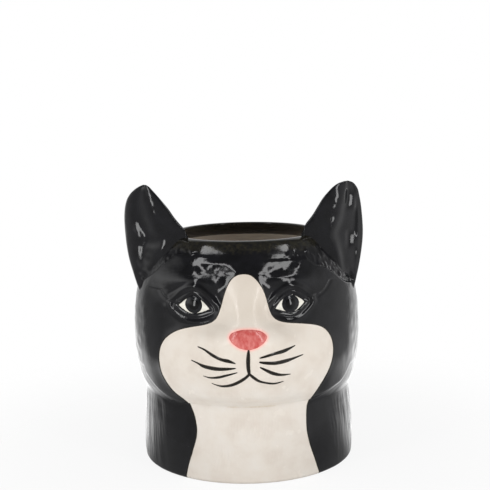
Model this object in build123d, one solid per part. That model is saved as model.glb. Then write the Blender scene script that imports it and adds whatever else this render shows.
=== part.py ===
from build123d import *
import math
import os

# Planter in the shape of a cat's head: slip-cast earthenware, hand painted and glazed.
# Lengths are millimetres. The pot stands on z = 0, looks along -Y, and +X is the viewer's right.
# The origin is under the middle of its plan box. A name in SHARE or SHARES is a share of the
# size named beside it, and everything else is a real length.

# Overall sizes
HEIGHT = 180.0
RIM_HEIGHT = 147.0
JAW_HEIGHT = 47.5
WALL = 5.5
FLOOR = 7.0
GLAZE = 0.6
PAINT = 0.4
FIT = 0.1
OVERRUN = 10.0

# Plan sizes of neck, head and rim, each from the neck's axis
NECK_SIDE = 69.0
NECK_FRONT = 68.2
NECK_BACK = 68.4
HEAD_SIDE = 73.6
HEAD_FRONT = 68.5
HEAD_BACK = 76.5
RIM_SIDE = 50.0
RIM_FRONT = 49.0
RIM_BACK = 51.0
RIM_ROUND = 2.3

# Foot
GLAZE_LINE = 1.5
FOOT_BEVEL = 1.0
FOOT_RING = 9.0
FOOT_HOLLOW = 1.5

# Relief of the face, each a height above the plain head
MUZZLE_REACH = 14.5
MUZZLE_HALF_WIDTH = 31.0
CHEEK_REACH = 3.5
CHEEK_SPACING = 92.0
CHEEK_HEIGHT = 74.0
CHEEK_SIZE = 17.0
PAD_REACH = 2.2
PAD_SPACING = 30.0
PAD_HEIGHT = 75.0
PAD_SIZE = 10.0
BROW_REACH = 2.4
BROW_SPACING = 62.0
BROW_HEIGHT = 124.0
BROW_LENGTH = 30.0
BROW_SHARES = (0.5, 0.2)

# Eyes
EYE_SPACING = 57.5
EYE_HEIGHT = 110.3
EYE_SHIFT = -2.6
EYE_LENGTH = 19.2
EYE_OPENING = 10.2
SOCKET_DEPTH = 3.2
SOCKET_SHARES = (0.63, 0.83)
EYEBALL_REACH = 3.4
EYEBALL_SHARES = (0.39, 0.54)
IRIS_DIAMETER = 10.6
PUPIL_DIAMETER = 5.8

# White coat: blaze, muzzle, chin and bib
BLAZE_HEIGHT = 129.0
PATCH_WIDTH = 107.0

# Painted nose, mouth and whiskers; mouth and whiskers hang from the nose
NOSE_WIDTH = 22.6
NOSE_HEIGHT = 93.6
NOSE_LENGTH = 11.2
PHILTRUM_LENGTH = 15.5
MOUTH_HALF_WIDTH = 21.0
LINE_WIDTH = 2.0
WHISKER_REACH = 33.4
WHISKER_RISE = 5.5
WHISKER_SPREAD = 8.8

# Ears
EAR_FOOT_HEIGHT = 108.0
EAR_SIDE = 77.5
EAR_FRONT = 28.0
EAR_SWEEP = 20.0
EAR_LEAN = 3.5
EAR_THICKNESS = 5.4
EAR_TIP_THICKNESS = 1.8
BOWL_DEPTH = 7.0
RIDGE_REACH = 2.0

# Neck and head sections: height, side, front, back.
# Heights of the neck are shares of JAW_HEIGHT, and its reaches are shares of NECK_SIDE, NECK_FRONT
# and NECK_BACK. Heights of the head are shares of the way from the jaw to the rim, and its reaches
# are shares of the way from the rim's reach to the head's.
NECK_SHARES = [
    (0.03, 0.997, 0.996, 0.996),
    (0.16, 1.000, 1.000, 1.000),
    (0.40, 0.998, 0.992, 0.996),
    (0.63, 0.990, 0.975, 0.987),
    (0.82, 0.980, 0.954, 0.975),
]
HEAD_SHARES = [
    (0.000, 0.733, 0.760, 0.605),
    (0.025, 0.768, 0.795, 0.632),
    (0.060, 0.835, 0.855, 0.690),
    (0.110, 0.889, 0.915, 0.776),
    (0.180, 0.937, 0.962, 0.868),
    (0.276, 0.983, 1.000, 0.941),
    (0.350, 0.997, 0.997, 0.980),
    (0.407, 1.000, 0.990, 1.000),
    (0.480, 0.990, 0.962, 0.996),
    (0.548, 0.970, 0.923, 0.980),
    (0.610, 0.930, 0.878, 0.942),
    (0.668, 0.873, 0.820, 0.882),
    (0.720, 0.800, 0.750, 0.812),
    (0.769, 0.712, 0.667, 0.725),
    (0.815, 0.608, 0.572, 0.618),
    (0.859, 0.487, 0.460, 0.490),
    (0.900, 0.352, 0.340, 0.348),
    (0.940, 0.212, 0.205, 0.196),
]

# Muzzle: height as a share of the way from the jaw to the rim, reach as a share of MUZZLE_REACH,
# half width as a share of MUZZLE_HALF_WIDTH.
MUZZLE_SHARES = [
    (-0.05, 0.00, 1.00),
    (0.00, 0.02, 1.00),
    (0.025, 0.14, 1.00),
    (0.065, 0.40, 1.00),
    (0.105, 0.53, 1.00),
    (0.165, 0.65, 1.00),
    (0.225, 0.745, 1.00),
    (0.305, 0.86, 1.00),
    (0.385, 0.965, 0.92),
    (0.445, 1.00, 0.80),
    (0.500, 0.91, 0.62),
    (0.540, 0.75, 0.50),
    (0.590, 0.58, 0.43),
    (0.650, 0.42, 0.40),
    (0.730, 0.29, 0.40),
    (0.810, 0.19, 0.42),
    (0.890, 0.10, 0.47),
    (1.000, 0.02, 0.50),
]
MUZZLE_EDGE_SHARE = 2.4

# White coat's edges from the foot up to the blaze's top: height as a share of BLAZE_HEIGHT, left
# and right edge as shares of half PATCH_WIDTH. It is painted by hand, so the sides differ a little.
PATCH_SHARES = [
    (0.0116, -0.729, 0.809), (0.0388, -0.716, 0.789), (0.0698, -0.699, 0.768), (0.1008, -0.677, 0.746),
    (0.1318, -0.652, 0.721), (0.1628, -0.632, 0.699), (0.1938, -0.609, 0.682), (0.2248, -0.594, 0.669),
    (0.2558, -0.591, 0.664), (0.2868, -0.600, 0.664), (0.3178, -0.615, 0.665), (0.3488, -0.645, 0.675),
    (0.3760, -0.684, 0.701), (0.3992, -0.755, 0.736), (0.4225, -0.834, 0.776), (0.4457, -0.890, 0.815),
    (0.4729, -0.938, 0.860), (0.5039, -0.979, 0.905), (0.5349, -1.002, 0.942), (0.5659, -1.011, 0.968),
    (0.5969, -1.011, 0.983), (0.6279, -1.000, 0.985), (0.6550, -0.978, 0.976), (0.6783, -0.944, 0.957),
    (0.6977, -0.901, 0.931), (0.7132, -0.854, 0.901), (0.7264, -0.802, 0.865), (0.7372, -0.744, 0.819),
    (0.7465, -0.673, 0.759), (0.7543, -0.598, 0.677), (0.7612, -0.527, 0.579), (0.7682, -0.465, 0.482),
    (0.7760, -0.415, 0.407), (0.7853, -0.376, 0.353), (0.7969, -0.344, 0.312), (0.8124, -0.318, 0.280),
    (0.8318, -0.297, 0.258), (0.8550, -0.279, 0.239), (0.8814, -0.260, 0.224), (0.9085, -0.239, 0.206),
    (0.9341, -0.217, 0.179), (0.9558, -0.193, 0.148), (0.9729, -0.166, 0.116), (0.9853, -0.135, 0.084),
    (0.9938, -0.101, 0.052), (0.9984, -0.071, 0.024),
]

# Nose outline: x as a share of half NOSE_WIDTH, height as a share of half NOSE_LENGTH.
NOSE_SHARES = [
    (-0.97, 0.22), (-0.84, 0.70), (-0.45, 0.93), (0.05, 1.00), (0.52, 0.88), (0.88, 0.60),
    (1.00, 0.16), (0.80, -0.22), (0.45, -0.62), (0.06, -1.00), (-0.36, -0.64), (-0.76, -0.20),
]

# Strokes: start, control and end points of a bent brush stroke, and its width as a share of
# LINE_WIDTH. Mouth points are shares of MOUTH_HALF_WIDTH across and up from the mouth's level;
# whisker points are shares of WHISKER_REACH across and of WHISKER_SPREAD up from the whiskers' level.
MOUTH_SHARES = [
    ((0.035, 0.73), (0.02, 0.35), (0.045, -0.03), 1.15),
    ((0.05, 0.03), (-0.25, -0.55), (-0.995, -0.33), 1.00),
    ((0.05, 0.03), (0.32, -0.50), (0.985, -0.31), 1.00),
]
LEFT_WHISKER_SHARES = [
    ((-0.883, 1.00), (-0.55, 0.53), (-0.205, 0.18), 0.95),
    ((-0.997, 0.08), (-0.62, -0.32), (-0.210, -0.16), 1.00),
    ((-0.764, -0.98), (-0.45, -1.10), (-0.170, -0.42), 0.85),
]
RIGHT_WHISKER_SHARES = [
    ((0.835, 0.99), (0.52, 0.70), (0.225, 0.53), 0.95),
    ((1.000, 0.28), (0.58, 0.00), (0.207, 0.27), 1.00),
    ((0.767, -0.87), (0.48, -0.80), (0.230, -0.17), 0.85),
]

# Ear edges seen from the front: height as a share of the way from EAR_FOOT_HEIGHT to the tip, inner
# and outer edge as shares of EAR_SIDE. The two ears were bent by hand and differ a little.
LEFT_EAR_SHARES = [
    (0.000, 0.722, 0.865), (0.111, 0.671, 0.901), (0.222, 0.606, 0.937), (0.333, 0.542, 0.970),
    (0.444, 0.471, 0.992), (0.542, 0.413, 1.003), (0.625, 0.497, 1.008), (0.708, 0.563, 1.009),
    (0.792, 0.614, 0.997), (0.861, 0.665, 0.975), (0.917, 0.720, 0.939), (0.958, 0.769, 0.898),
    (0.986, 0.806, 0.866), (1.000, 0.828, 0.846),
]
RIGHT_EAR_SHARES = [
    (0.000, 0.722, 0.880), (0.111, 0.671, 0.915), (0.222, 0.606, 0.948), (0.333, 0.542, 0.973),
    (0.444, 0.471, 0.989), (0.542, 0.404, 0.994), (0.625, 0.477, 0.987), (0.708, 0.543, 0.977),
    (0.792, 0.598, 0.964), (0.861, 0.649, 0.951), (0.917, 0.707, 0.937), (0.958, 0.765, 0.915),
    (0.986, 0.812, 0.888), (1.000, 0.845, 0.865),
]
# Depth of the ear's bowl along the same way up
BOWL_SHARES = [(0.00, 0.00), (0.10, 0.45), (0.25, 1.00), (0.50, 0.90), (0.75, 0.70), (0.92, 0.35), (1.00, 0.00)]
BOWL_PLACE_SHARE = 0.84
BOWL_SIZE_SHARE = 0.10
RIDGE_PLACE_SHARE = 0.64
RIDGE_SIZE_SHARE = 0.07

SECTION_POINTS = 44
RINGS = 30
CROWN_RINGS = 4
WHITE_POINTS = 20
BLACK_POINTS = 38
EDGE_CROWDING_SHARE = 0.5
SOLVE_STEPS = 40
FRONT_CROWDING_SHARE = 0.4
RIM_STEPS = 3
EAR_POINTS = 32
STROKE_STEPS = 6


def read(table, at, column=1):
    """Read one column of a table at a place between its rows, as a smooth curve through them."""
    keys = [row[0] for row in table]
    values = [row[column] for row in table]
    last = len(keys) - 1
    at = min(max(at, keys[0]), keys[last])
    i = 0
    while i < last - 1 and at > keys[i + 1]:
        i += 1

    def slope(k):
        low, high = max(k - 1, 0), min(k + 1, last)
        return (values[high] - values[low]) / (keys[high] - keys[low])

    step = keys[i + 1] - keys[i]
    t = (at - keys[i]) / step
    return (
        (2 * t**3 - 3 * t**2 + 1) * values[i]
        + (t**3 - 2 * t**2 + t) * step * slope(i)
        + (3 * t**2 - 2 * t**3) * values[i + 1]
        + (t**3 - t**2) * step * slope(i + 1)
    )


def profile():
    """Heights and reaches of the plain pot: side, front and back of each section, foot to rim."""
    rows = []
    for height, side, front, back in NECK_SHARES:
        rows.append((height * JAW_HEIGHT, side * NECK_SIDE, front * NECK_FRONT, back * NECK_BACK))
    for height, side, front, back in HEAD_SHARES:
        rows.append((
            JAW_HEIGHT + height * (RIM_HEIGHT - JAW_HEIGHT),
            RIM_SIDE + side * (HEAD_SIDE - RIM_SIDE),
            RIM_FRONT + front * (HEAD_FRONT - RIM_FRONT),
            RIM_BACK + back * (HEAD_BACK - RIM_BACK),
        ))
    rows.append((RIM_HEIGHT, RIM_SIDE, RIM_FRONT, RIM_BACK))
    return rows


PROFILE = profile()
# The neck's axis lies a little behind the middle of the plan box, because the muzzle reaches out.
AXIS_Y = (HEAD_FRONT + MUZZLE_REACH - HEAD_BACK) / 2

# Rounded relief: x, height, reach out of the head, half width, half height. Negative is a hollow.
RELIEF = []
for side in (-1, 1):
    eye_x = EYE_SHIFT + side * EYE_SPACING / 2
    brow_x = EYE_SHIFT + side * BROW_SPACING / 2
    RELIEF += [
        (eye_x, EYE_HEIGHT, -SOCKET_DEPTH, EYE_LENGTH * SOCKET_SHARES[0], EYE_OPENING * SOCKET_SHARES[1]),
        (eye_x, EYE_HEIGHT, EYEBALL_REACH, EYE_LENGTH * EYEBALL_SHARES[0], EYE_OPENING * EYEBALL_SHARES[1]),
        (brow_x, BROW_HEIGHT, BROW_REACH, BROW_LENGTH * BROW_SHARES[0], BROW_LENGTH * BROW_SHARES[1]),
        (side * CHEEK_SPACING / 2, CHEEK_HEIGHT, CHEEK_REACH, CHEEK_SIZE, CHEEK_SIZE),
        (side * PAD_SPACING / 2, PAD_HEIGHT, PAD_REACH, PAD_SIZE, PAD_SIZE),
    ]


def pot_point(angle, height, offset=0.0):
    """Point on the pot's skin. The section is half an ellipse in front and half behind; muzzle and
    relief push it out along the ellipse's normal, and offset moves the whole skin out or in."""
    side = read(PROFILE, height, 1)
    front = math.cos(angle) > 0
    depth = read(PROFILE, height, 2 if front else 3)
    x, y = side * math.sin(angle), -depth * math.cos(angle)
    normal = Vector(math.sin(angle) / side, -math.cos(angle) / depth).normalized()
    out = offset
    if front:
        up = (height - JAW_HEIGHT) / (RIM_HEIGHT - JAW_HEIGHT)
        reach = MUZZLE_REACH * read(MUZZLE_SHARES, up, 1)
        half_width = MUZZLE_HALF_WIDTH * read(MUZZLE_SHARES, up, 2)
        relief = reach * math.exp(-abs(x / half_width) ** MUZZLE_EDGE_SHARE)
        for place, level, rise, across, along in RELIEF:
            relief += rise * math.exp(-(((x - place) / across) ** 2) - ((height - level) / along) ** 2)
        out += relief * math.sqrt(math.cos(angle))
    return Vector(x + normal.X * out, AXIS_Y + y + normal.Y * out, height)


def ring(height, offset, level=None):
    """Closed wire round the pot, from the back round the face. Its points crowd towards the face.
    It lies at level when that is given, with the shape that the pot has at height."""
    points = []
    for i in range(SECTION_POINTS):
        turn = math.pi * (1 + 2 * i / SECTION_POINTS)
        point = pot_point(turn - FRONT_CROWDING_SHARE * math.sin(turn), height, offset)
        points.append(Vector(point.X, point.Y, height if level is None else level))
    shares = [i / SECTION_POINTS for i in range(SECTION_POINTS + 1)]
    return Wire([Edge.make_spline(points, periodic=True, parameters=shares)])


def side_face(rings, ruled=False):
    """The lofted skin alone, without the flat caps at its ends."""
    solid = loft([Face(wire) for wire in rings], ruled=ruled)
    return max(solid.faces(), key=lambda face: face.area if face.geom_type != GeomType.PLANE else 0)


def annulus(outer, inner):
    """Flat ring between two closed wires."""
    return Face(outer, [inner])


def levels(low, high, count):
    """Evenly spaced heights, both ends included."""
    return [low + (high - low) * i / count for i in range(count + 1)]


def rim_rings(depth, inwards):
    """Rings of the rim's round at depth under the glaze. Coats of the rim keep one centre, so they
    stay parallel. It turns in from the outside, or out from the hollow when inwards is negative."""
    centre = RIM_HEIGHT - RIM_ROUND
    radius = RIM_ROUND - depth
    middle = -RIM_ROUND if inwards > 0 else RIM_ROUND - WALL
    rings = []
    for step in range(RIM_STEPS + 1):
        turn = math.pi / 2 * step / RIM_STEPS
        level = centre + radius * math.sin(turn)
        rings.append(ring(level, middle + inwards * radius * math.cos(turn), level))
    return rings


def skin(offset, low, count, rim):
    """Faces of a skin of the pot from low up over the rim, with its lowest and highest wires."""
    rings = [ring(height, offset) for height in levels(low, RIM_HEIGHT - RIM_ROUND, count)[:-1]]
    return [side_face(rings + rim[:1]), side_face(rim)], rings[0], rim[-1]


def edge_angle(height, x):
    """Turn round the pot at which the front of its skin lies at x, found by halving."""
    low, high = -math.pi / 2, math.pi / 2
    for _ in range(SOLVE_STEPS):
        middle = (low + high) / 2
        if pot_point(middle, height).X < x:
            low = middle
        else:
            high = middle
    return low


def arc_section(height, start, end, count):
    """Closed section of a coat between two turns: outer arc, edge, inner arc, edge. Its points
    crowd towards both edges."""
    shares = [i / count for i in range(count + 1)]
    turns = [
        start + (end - start) * (share - EDGE_CROWDING_SHARE * math.sin(2 * math.pi * share) / (2 * math.pi))
        for share in shares
    ]
    outer = [pot_point(turn, height, -FIT) for turn in turns]
    inner = [pot_point(turn, height, FIT - GLAZE) for turn in turns]
    return Face(Wire([
        Edge.make_spline(outer, parameters=shares),
        Edge.make_line(outer[-1], inner[-1]),
        Edge.make_spline(inner[::-1], parameters=shares),
        Edge.make_line(inner[0], outer[0]),
    ]))


def coats():
    """White coat on the front, and the black coat round it up to the top of the blaze."""
    white, black = [], []
    for share, left, right in PATCH_SHARES:
        height = share * BLAZE_HEIGHT
        start = edge_angle(height, left * PATCH_WIDTH / 2)
        end = edge_angle(height, right * PATCH_WIDTH / 2)
        white.append(arc_section(height, start, end, WHITE_POINTS))
        black.append(arc_section(height, end, start + 2 * math.pi, BLACK_POINTS))
    return loft(white), loft(black)


def sewn(faces):
    """Solid enclosed by faces that meet edge to edge."""
    solid = Solid(Shell(faces))
    return solid if solid.volume > 0 else -solid


def front_prism(face):
    """Face drawn on the XZ plane, run through the front half of the pot."""
    reach = HEAD_FRONT + MUZZLE_REACH + OVERRUN
    return extrude(face.moved(Location((0, -reach, 0))), amount=reach, dir=(0, 1, 0))


def flat(x, z):
    """Point on the plane on which the face is drawn."""
    return Vector(x, 0, z)


def stroke(start, control, end, width):
    """Bent brush stroke that is pointed at both ends: a leaf round a quadratic curve."""
    upper, lower = [], []
    for step in range(STROKE_STEPS + 1):
        t = step / STROKE_STEPS
        place = start * (1 - t) ** 2 + control * 2 * t * (1 - t) + end * t**2
        along = ((control - start) * (1 - t) + (end - control) * t).normalized()
        across = Vector(-along.Z, 0, along.X) * (width / 2 * math.sin(math.pi * t))
        upper.append(place + across)
        lower.append(place - across)
    return Face(Wire([Edge.make_spline(upper), Edge.make_spline(lower)]))


def strokes(table, across, up, level):
    """Brush strokes of one table, as separate solids."""
    prisms = []
    for start, control, end, width in table:
        points = [flat(x * across, level + z * up) for x, z in (start, control, end)]
        prisms.append(front_prism(stroke(*points, width * LINE_WIDTH)))
    return prisms


def almond(x):
    """Eye outline: two arcs that meet at the corners."""
    left, right = flat(x - EYE_LENGTH / 2, EYE_HEIGHT), flat(x + EYE_LENGTH / 2, EYE_HEIGHT)
    upper = Edge.make_three_point_arc(left, flat(x, EYE_HEIGHT + EYE_OPENING / 2), right)
    lower = Edge.make_three_point_arc(right, flat(x, EYE_HEIGHT - EYE_OPENING / 2), left)
    return Face(Wire([upper, lower]))


def disc(x, diameter):
    """Round face at an eye's middle."""
    plane = Plane(origin=flat(x, EYE_HEIGHT), z_dir=(0, -1, 0))
    return Face(Wire.make_circle(diameter / 2, plane))


def ear_point(table, side, height, turn, depth):
    """Point on an ear's section. Its middle sheet sweeps back towards the outer edge, rises in a
    ridge and sinks in a bowl; the section is a flat oval round that sheet, and depth thins it."""
    up = (height - EAR_FOOT_HEIGHT) / (HEIGHT - EAR_FOOT_HEIGHT)
    inner = read(table, up, 1) * EAR_SIDE + depth
    outer = read(table, up, 2) * EAR_SIDE - depth
    share = (1 - math.cos(turn)) / 2
    x = inner + (outer - inner) * share
    first = min(row[1] for row in table) * EAR_SIDE
    y = -EAR_FRONT + EAR_SWEEP * ((x - first) / (EAR_SIDE - first)) ** 2 + EAR_LEAN * up
    scale = read(BOWL_SHARES, up)
    y += scale * BOWL_DEPTH * math.exp(-(((share - BOWL_PLACE_SHARE) / BOWL_SIZE_SHARE) ** 2))
    y -= scale * RIDGE_REACH * math.exp(-(((share - RIDGE_PLACE_SHARE) / RIDGE_SIZE_SHARE) ** 2))
    tip = EAR_TIP_THICKNESS + (EAR_THICKNESS - EAR_TIP_THICKNESS) * math.sqrt(max(1 - up**6, 0))
    half = tip / 2 - depth
    y -= math.copysign(half * math.sqrt(abs(math.sin(turn))), math.sin(turn))
    return Vector(side * x, AXIS_Y + y, height - depth * up)


def ear_solid(table, side, depth):
    """One cupped ear, lofted from its foot inside the head to its tip."""
    sections = []
    for row in table:
        height = EAR_FOOT_HEIGHT + row[0] * (HEIGHT - EAR_FOOT_HEIGHT)
        points = []
        for i in range(EAR_POINTS):
            points.append(ear_point(table, side, height, 2 * math.pi * (i + 0.5) / EAR_POINTS, depth))
        shares = [i / EAR_POINTS for i in range(EAR_POINTS + 1)]
        sections.append(Face(Wire([Edge.make_spline(points, periodic=True, parameters=shares)])))
    return loft(sections)


os.makedirs("parts", exist_ok=True)
written = []


def write(name, *solids):
    """Write one node, as one solid or as a group of separate ones."""
    shape = solids[0] if len(solids) == 1 else Compound(children=list(solids))
    export_step(shape, f"parts/{name}.step")
    written.append(name)
    print(name, len(shape.solids()), round(shape.volume, 1), shape.is_valid)


# The clay and the inner coat share their faces, so they lie face to face.
clay_out, clay_foot, clay_rim = skin(-GLAZE, GLAZE_LINE, RINGS, rim_rings(GLAZE, 1))
clay_in, clay_floor, clay_lip = skin(GLAZE - WALL, FLOOR - GLAZE, RINGS, rim_rings(GLAZE, -1))
glazed_in, glazed_floor, glazed_lip = skin(-WALL, FLOOR, RINGS, rim_rings(0.0, -1))
lip_step = side_face([clay_lip, glazed_lip], ruled=True)
foot_edge = ring(GLAZE_LINE, -GLAZE - FOOT_BEVEL, 0.0)
foot_side = side_face([foot_edge, clay_foot], ruled=True)
clay = sewn([Face(foot_edge), foot_side, *clay_out, annulus(clay_rim, clay_lip), *clay_in, Face(clay_floor)])
foot_hollow = Face(ring(GLAZE_LINE, -GLAZE - FOOT_BEVEL - FOOT_RING, 0.0))
clay -= extrude(foot_hollow, amount=FOOT_HOLLOW, dir=(0, 0, 1))
inner_coat = sewn([Face(glazed_floor), *glazed_in, lip_step, *clay_in, Face(clay_floor)])

# Filled shape that cuts what sits on the pot, and the spaces over its mouth that cut the ears'
# inner edges: the clay is cut a coat's depth further out, so the coat runs over its cut edge.
glazed_out, glazed_foot, glazed_rim = skin(0.0, GLAZE_LINE, RINGS, rim_rings(0.0, 1))
glazed_pot = sewn([Face(glazed_foot), *glazed_out, Face(glazed_rim)])
well_depth = HEIGHT - RIM_HEIGHT + OVERRUN
well = extrude(Face(glazed_lip), amount=well_depth, dir=(0, 0, 1))
clay_well = extrude(Face(ring(RIM_HEIGHT, RIM_ROUND - WALL + GLAZE)), amount=well_depth, dir=(0, 0, 1))

# Over the blaze the black coat is a crown that runs over the rim and meets the inner coat.
white_coat, black_coat = coats()
brow_line = PATCH_SHARES[-1][0] * BLAZE_HEIGHT
over, under = FIT, GLAZE - FIT
crown_out, crown_low, crown_rim = skin(-over, brow_line, CROWN_RINGS, rim_rings(over, 1))
under_out, under_low, under_rim = skin(-under, brow_line, CROWN_RINGS, rim_rings(under, 1))
top_lip, low_lip = rim_rings(over, -1)[-1], rim_rings(under, -1)[-1]
crown = sewn([
    annulus(crown_low, under_low),
    *crown_out,
    annulus(crown_rim, top_lip),
    side_face([low_lip, top_lip], ruled=True),
    annulus(under_rim, low_lip),
    *under_out,
])

for name, table, side in (("left_ear", LEFT_EAR_SHARES, -1), ("right_ear", RIGHT_EAR_SHARES, 1)):
    clay_ear = ear_solid(table, side, GLAZE) - clay_well
    write(name, clay_ear - glazed_pot)
    write(name + "_glaze", ear_solid(table, side, 0.0) - clay_ear - glazed_pot - well)

write("earthenware_body", clay)
write("white_glaze", white_coat)
write("black_glaze", black_coat)
write("crown_glaze", crown)
write("interior_glaze", inner_coat)

painted_rings = [ring(height, PAINT) for height in levels(GLAZE_LINE, RIM_HEIGHT - RIM_ROUND, RINGS)]
painted_pot = loft([Face(wire) for wire in painted_rings])


def painted(prism):
    """The layer of paint that a prism leaves on the glaze."""
    return (painted_pot & prism) - glazed_pot


half_nose = flat(NOSE_WIDTH / 2, NOSE_LENGTH / 2)
nose_points = [flat(x * half_nose.X, NOSE_HEIGHT + z * half_nose.Z) for x, z in NOSE_SHARES]
write("pink_nose", painted(front_prism(Face(Wire([Edge.make_spline(nose_points, periodic=True)])))))
mouth_level = NOSE_HEIGHT - NOSE_LENGTH / 2 - PHILTRUM_LENGTH
mouth = strokes(MOUTH_SHARES, MOUTH_HALF_WIDTH, MOUTH_HALF_WIDTH, mouth_level)
write("mouth_line", painted(mouth[0] + mouth[1] + mouth[2]))
for name, table in (("left_whiskers", LEFT_WHISKER_SHARES), ("right_whiskers", RIGHT_WHISKER_SHARES)):
    brush = strokes(table, WHISKER_REACH, WHISKER_SPREAD, mouth_level + WHISKER_RISE)
    write(name, *[painted(prism) for prism in brush])
for name, side in (("left", -1), ("right", 1)):
    eye_x = EYE_SHIFT + side * EYE_SPACING / 2
    eye, iris, pupil = almond(eye_x), disc(eye_x, IRIS_DIAMETER), disc(eye_x, PUPIL_DIAMETER)
    write(name + "_eye_white", *painted(front_prism(eye - iris)).solids())
    write(name + "_iris", painted(front_prism((iris & eye) - pupil)))
    write(name + "_pupil", painted(front_prism(pupil)))
print(len(written), "nodes")
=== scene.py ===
"""Looks of the cat's head planter: slip-cast earthenware, hand painted and glazed.

Shapes are surfaces worked out on grids, in millimetres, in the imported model's frame: the pot stands
on z = 0, looks along -Y, and +X is the viewer's right. add_surface turns them to metres.
"""
import math
from functools import partial

import bmesh
import bpy
import numpy as np
from mathutils import Matrix, Vector


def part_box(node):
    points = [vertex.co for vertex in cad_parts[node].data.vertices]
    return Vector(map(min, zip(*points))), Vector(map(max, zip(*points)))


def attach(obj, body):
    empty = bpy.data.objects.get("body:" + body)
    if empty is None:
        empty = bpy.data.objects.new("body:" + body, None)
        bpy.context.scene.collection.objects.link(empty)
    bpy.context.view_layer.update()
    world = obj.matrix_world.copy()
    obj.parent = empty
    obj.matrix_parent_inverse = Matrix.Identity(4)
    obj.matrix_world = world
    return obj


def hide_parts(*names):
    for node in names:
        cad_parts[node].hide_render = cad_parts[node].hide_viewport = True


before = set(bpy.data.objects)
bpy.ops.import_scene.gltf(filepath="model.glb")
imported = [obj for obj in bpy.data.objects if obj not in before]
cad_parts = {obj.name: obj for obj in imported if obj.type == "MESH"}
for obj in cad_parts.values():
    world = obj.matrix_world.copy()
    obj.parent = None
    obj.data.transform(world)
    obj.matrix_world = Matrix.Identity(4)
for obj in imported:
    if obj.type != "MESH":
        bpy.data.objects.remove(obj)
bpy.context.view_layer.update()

MM = 0.001


def reach(node, corner, axis):
    """One coordinate of a node's lowest (0) or highest (1) corner, in millimetres."""
    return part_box(node)[corner][axis] / MM


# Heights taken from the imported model
UP = 2
GLAZE = 0.6
TIP_HEIGHT = reach("left_ear_glaze", 1, UP)
RIM_HEIGHT = reach("earthenware_body", 1, UP) + GLAZE
GLAZE_LINE = reach("white_glaze", 0, UP)

# Plan sizes of neck, head and rim from the neck's axis, as the model has them
JAW_HEIGHT = 47.5
NECK_SIDE, NECK_FRONT, NECK_BACK = 69.0, 68.2, 68.4
HEAD_SIDE, HEAD_FRONT, HEAD_BACK = 73.6, 68.5, 76.5
RIM_SIDE, RIM_FRONT, RIM_BACK = 50.0, 49.0, 51.0
RIM_ROUND = 2.3
WALL = 5.5
FLOOR = 7.0
MUZZLE_REACH = 14.5
MUZZLE_HALF_WIDTH = 31.0
MUZZLE_EDGE = 2.4
AXIS_Y = (HEAD_FRONT + MUZZLE_REACH - HEAD_BACK) / 2

# Sections: height, side, front, back. The neck's are shares of JAW_HEIGHT and of its plan sizes, the
# head's are shares of the way from jaw to rim and from the rim's reach to the head's.
NECK_SHARES = [
    (0.03, 0.997, 0.996, 0.996), (0.16, 1.000, 1.000, 1.000), (0.40, 0.998, 0.992, 0.996),
    (0.63, 0.990, 0.975, 0.987), (0.82, 0.980, 0.954, 0.975),
]
HEAD_SHARES = [
    (0.000, 0.733, 0.760, 0.605), (0.025, 0.768, 0.795, 0.632), (0.060, 0.835, 0.855, 0.690),
    (0.110, 0.889, 0.915, 0.776), (0.180, 0.937, 0.962, 0.868), (0.276, 0.983, 1.000, 0.941),
    (0.350, 0.997, 0.997, 0.980), (0.407, 1.000, 0.990, 1.000), (0.480, 0.990, 0.962, 0.996),
    (0.548, 0.970, 0.923, 0.980), (0.610, 0.930, 0.878, 0.942), (0.668, 0.873, 0.820, 0.882),
    (0.720, 0.800, 0.750, 0.812), (0.769, 0.712, 0.667, 0.725), (0.815, 0.608, 0.572, 0.618),
    (0.859, 0.487, 0.460, 0.490), (0.900, 0.352, 0.340, 0.348), (0.940, 0.212, 0.205, 0.196),
]
# Muzzle: share of the way from jaw to rim, share of MUZZLE_REACH, share of MUZZLE_HALF_WIDTH
MUZZLE_SHARES = [
    (-0.05, 0.00, 1.00), (0.00, 0.02, 1.00), (0.025, 0.14, 1.00), (0.065, 0.40, 1.00),
    (0.105, 0.53, 1.00), (0.165, 0.65, 1.00), (0.225, 0.745, 1.00), (0.305, 0.86, 1.00),
    (0.385, 0.965, 0.92), (0.445, 1.00, 0.80), (0.500, 0.91, 0.62), (0.540, 0.75, 0.50),
    (0.590, 0.58, 0.43), (0.650, 0.42, 0.40), (0.730, 0.29, 0.40), (0.810, 0.19, 0.42),
    (0.890, 0.10, 0.47), (1.000, 0.02, 0.50),
]
# Rounded relief: x, height, reach, half width, half height; sockets and eyeballs first
EYE_RELIEF = [
    (x, 110.3, *row) for x in (-31.35, 26.15) for row in ((-3.2, 12.1, 8.47), (3.4, 7.49, 5.51))
]
FACE_RELIEF = [
    (-33.6, 124.0, 2.4, 15.0, 6.0), (-46.0, 74.0, 3.5, 17.0, 17.0), (-15.0, 75.0, 2.2, 10.0, 10.0),
    (28.4, 124.0, 2.4, 15.0, 6.0), (46.0, 74.0, 3.5, 17.0, 17.0), (15.0, 75.0, 2.2, 10.0, 10.0),
]
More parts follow.
